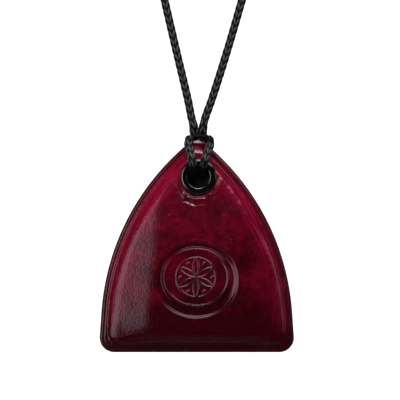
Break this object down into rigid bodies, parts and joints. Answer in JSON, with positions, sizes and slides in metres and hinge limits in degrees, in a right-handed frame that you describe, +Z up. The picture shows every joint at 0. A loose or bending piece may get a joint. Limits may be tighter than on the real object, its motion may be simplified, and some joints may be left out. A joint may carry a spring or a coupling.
{
  "type": "amulet pendant",
  "caption": "Moulded leather amulet case shaped as a pointed arch, with a black eyelet and a braided cord hitched through it; it swings and turns below a knotted hanging loop.",
  "frame": {"origin": "underside of the cord loop's top, where a hook or finger holds it", "axes": "+Z up along the hang, +X to the right seen from the front, the front faces -Y"},
  "size_m": [0.0486, 0.0097, 0.1085],
  "materials": {
    "case_leather": "glossy",
    "pressed_board": "matte",
    "prayer_paper": "matte",
    "waxed_cloth": "satin",
    "black_enamel": "gloss",
    "black_braid": "satin"
  },
  "bodies": {
    "cord_loop": {"top_loop": "black_braid", "closing_knot": "black_braid"},
    "strands": {"left_strand": "black_braid", "right_strand": "black_braid"},
    "pendant": {"front_cover": "case_leather", "back_cover": "case_leather", "front_former": "pressed_board", "medallion_disc": "pressed_board", "prayer_sheet": "prayer_paper", "waxed_wrap": "waxed_cloth", "back_board": "pressed_board", "eyelet": "black_enamel", "eyelet_washer": "black_enamel", "cord_hitch": "black_braid"}
  },
  "joints": [
    {"name": "swing", "type": "hinge", "parent": "cord_loop", "child": "strands", "pos_m": [0, 0, -0.01321], "axis": [1, 0, 0], "range_deg": [-45, 45]},
    {"name": "turn", "type": "hinge", "parent": "strands", "child": "pendant", "pos_m": [-0.0014, 0.0011, -0.0487], "axis": [0, 0, 1], "range_deg": [-90, 90], "stiffness_Nm_per_rad": 0.000035}
  ]
}
